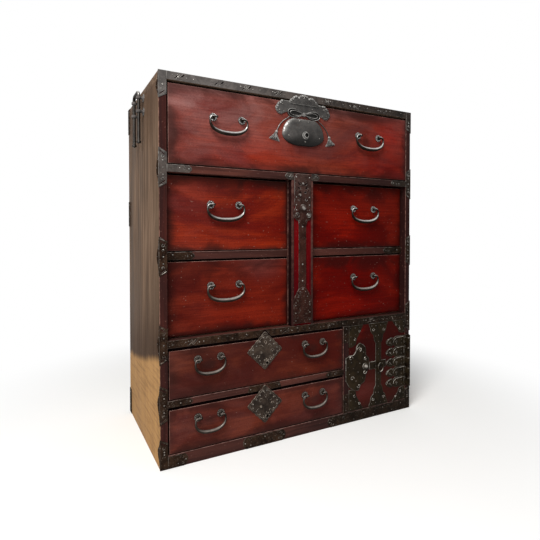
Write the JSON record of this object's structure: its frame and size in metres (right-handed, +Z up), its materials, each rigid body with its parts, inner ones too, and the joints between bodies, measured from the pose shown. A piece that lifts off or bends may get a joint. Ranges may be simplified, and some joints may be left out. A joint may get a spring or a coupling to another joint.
{
  "type": "isho clothing chest",
  "caption": "Upright lacquered wooden clothing chest with iron fittings, drawers, a tilting locking bar and a hinged safe door.",
  "frame": {"origin": "on the floor, under the middle of the case's width and depth", "axes": "+Z up, the front with the drawers faces -Y, +X to the right seen from the front"},
  "size_m": [0.9556, 0.456, 1.07],
  "materials": {
    "lacquer_case": "glossy clear lacquer over dark stain",
    "lacquer_red": "glossy red-brown lacquer",
    "lacquer_dark": "glossy dark red-brown lacquer",
    "plain_wood": "plain planed wood",
    "iron": "blackened iron, satin"
  },
  "bodies": {
    "case": {"side_panel_left": "lacquer_case", "side_panel_right": "lacquer_case", "top_panel": "lacquer_case", "base_rails": "lacquer_dark", "bottom_board": "plain_wood", "back_boards": "plain_wood", "upper_rail": "lacquer_dark", "lower_rail": "lacquer_dark", "fourth_rail": "lacquer_dark", "middle_rail": "lacquer_dark", "dust_boards": "plain_wood", "centre_partition": "lacquer_dark", "safe_partition": "lacquer_dark", "post_irons": "iron", "rail_irons": "iron", "bail_collars": "iron", "case_hinge_leaf": "iron", "hinge_pin": "iron"},
    "top_drawer": {"top_drawer_front": "lacquer_red", "top_drawer_box": "plain_wood", "top_drawer_fittings": "iron", "purse_lock": "iron"},
    "top_drawer_handle_left": {"top_drawer_handle_left": "iron"},
    "top_drawer_handle_right": {"top_drawer_handle_right": "iron"},
    "second_left_drawer": {"second_left_drawer_front": "lacquer_red", "second_left_drawer_box": "plain_wood", "second_left_drawer_fittings": "iron"},
    "second_left_drawer_handle": {"second_left_drawer_handle": "iron"},
    "second_right_drawer": {"second_right_drawer_front": "lacquer_red", "second_right_drawer_box": "plain_wood", "second_right_drawer_fittings": "iron"},
    "second_right_drawer_handle": {"second_right_drawer_handle": "iron"},
    "third_left_drawer": {"third_left_drawer_front": "lacquer_red", "third_left_drawer_box": "plain_wood", "third_left_drawer_fittings": "iron"},
    "third_left_drawer_handle": {"third_left_drawer_handle": "iron"},
    "third_right_drawer": {"third_right_drawer_front": "lacquer_red", "third_right_drawer_box": "plain_wood", "third_right_drawer_fittings": "iron"},
    "third_right_drawer_handle": {"third_right_drawer_handle": "iron"},
    "fourth_drawer": {"fourth_drawer_front": "lacquer_red", "fourth_drawer_box": "plain_wood", "fourth_drawer_fittings": "iron"},
    "fourth_drawer_handle_left": {"fourth_drawer_handle_left": "iron"},
    "fourth_drawer_handle_right": {"fourth_drawer_handle_right": "iron"},
    "fifth_drawer": {"fifth_drawer_front": "lacquer_red", "fifth_drawer_box": "plain_wood", "fifth_drawer_fittings": "iron"},
    "fifth_drawer_handle_left": {"fifth_drawer_handle_left": "iron"},
    "fifth_drawer_handle_right": {"fifth_drawer_handle_right": "iron"},
    "locking_bar": {"lock_bar": "lacquer_dark", "lock_bar_irons": "iron"},
    "safe_door": {"door_panel": "lacquer_red", "door_irons": "iron", "door_hinge_straps": "iron", "door_lock_plate": "iron"},
    "door_ring": {"door_ring": "iron"},
    "carry_bail_left": {"carry_bail_left": "iron"},
    "carry_bail_right": {"carry_bail_right": "iron"}
  },
  "joints": [
    {"name": "top_drawer_slide", "type": "slide", "parent": "case", "child": "top_drawer", "axis": [0, -1, 0], "range_m": [0, 0.3]},
    {"name": "top_drawer_handle_left_pivot", "type": "hinge", "parent": "top_drawer", "child": "top_drawer_handle_left", "pos_m": [-0.2575, -0.23, 0.9624], "axis": [-1, 0, 0], "range_deg": [0, 150]},
    {"name": "top_drawer_handle_right_pivot", "type": "hinge", "parent": "top_drawer", "child": "top_drawer_handle_right", "pos_m": [0.2575, -0.23, 0.9624], "axis": [-1, 0, 0], "range_deg": [0, 150]},
    {"name": "second_left_drawer_slide", "type": "slide", "parent": "case", "child": "second_left_drawer", "axis": [0, -1, 0], "range_m": [0, 0.3]},
    {"name": "second_left_drawer_handle_pivot", "type": "hinge", "parent": "second_left_drawer", "child": "second_left_drawer_handle", "pos_m": [-0.2575, -0.2075, 0.7193], "axis": [-1, 0, 0], "range_deg": [0, 150]},
    {"name": "second_right_drawer_slide", "type": "slide", "parent": "case", "child": "second_right_drawer", "axis": [0, -1, 0], "range_m": [0, 0.3]},
    {"name": "second_right_drawer_handle_pivot", "type": "hinge", "parent": "second_right_drawer", "child": "second_right_drawer_handle", "pos_m": [0.2575, -0.2075, 0.7193], "axis": [-1, 0, 0], "range_deg": [0, 150]},
    {"name": "third_left_drawer_slide", "type": "slide", "parent": "case", "child": "third_left_drawer", "axis": [0, -1, 0], "range_m": [0, 0.3]},
    {"name": "third_left_drawer_handle_pivot", "type": "hinge", "parent": "third_left_drawer", "child": "third_left_drawer_handle", "pos_m": [-0.2575, -0.2075, 0.4873], "axis": [-1, 0, 0], "range_deg": [0, 150]},
    {"name": "third_right_drawer_slide", "type": "slide", "parent": "case", "child": "third_right_drawer", "axis": [0, -1, 0], "range_m": [0, 0.3]},
    {"name": "third_right_drawer_handle_pivot", "type": "hinge", "parent": "third_right_drawer", "child": "third_right_drawer_handle", "pos_m": [0.2575, -0.2075, 0.4873], "axis": [-1, 0, 0], "range_deg": [0, 150]},
    {"name": "fourth_drawer_slide", "type": "slide", "parent": "case", "child": "fourth_drawer", "axis": [0, -1, 0], "range_m": [0, 0.3]},
    {"name": "fourth_drawer_handle_left_pivot", "type": "hinge", "parent": "fourth_drawer", "child": "fourth_drawer_handle_left", "pos_m": [-0.315, -0.23, 0.2875], "axis": [-1, 0, 0], "range_deg": [0, 150]},
    {"name": "fourth_drawer_handle_right_pivot", "type": "hinge", "parent": "fourth_drawer", "child": "fourth_drawer_handle_right", "pos_m": [0.037, -0.23, 0.2875], "axis": [-1, 0, 0], "range_deg": [0, 150]},
    {"name": "fifth_drawer_slide", "type": "slide", "parent": "case", "child": "fifth_drawer", "axis": [0, -1, 0], "range_m": [0, 0.3]},
    {"name": "fifth_drawer_handle_left_pivot", "type": "hinge", "parent": "fifth_drawer", "child": "fifth_drawer_handle_left", "pos_m": [-0.315, -0.23, 0.125], "axis": [-1, 0, 0], "range_deg": [0, 150]},
    {"name": "fifth_drawer_handle_right_pivot", "type": "hinge", "parent": "fifth_drawer", "child": "fifth_drawer_handle_right", "pos_m": [0.037, -0.23, 0.125], "axis": [-1, 0, 0], "range_deg": [0, 150]},
    {"name": "locking_bar_tilt", "type": "hinge", "parent": "case", "child": "locking_bar", "pos_m": [-0.005, -0.2175, 0.348], "axis": [1, 0, 0], "range_deg": [0, 20]},
    {"name": "safe_door_hinge", "type": "hinge", "parent": "case", "child": "safe_door", "pos_m": [0.4425, -0.226, 0.1775], "axis": [0, 0, 1], "range_deg": [0, 170]},
    {"name": "door_ring_pivot", "type": "hinge", "parent": "safe_door", "child": "door_ring", "pos_m": [0.3125, -0.225, 0.186], "axis": [-1, 0, 0], "range_deg": [0, 120]},
    {"name": "carry_bail_left_lift", "type": "slide", "parent": "case", "child": "carry_bail_left", "axis": [0, 0, 1], "range_m": [0, 0.08]},
    {"name": "carry_bail_right_lift", "type": "slide", "parent": "case", "child": "carry_bail_right", "axis": [0, 0, 1], "range_m": [0, 0.08]}
  ]
}
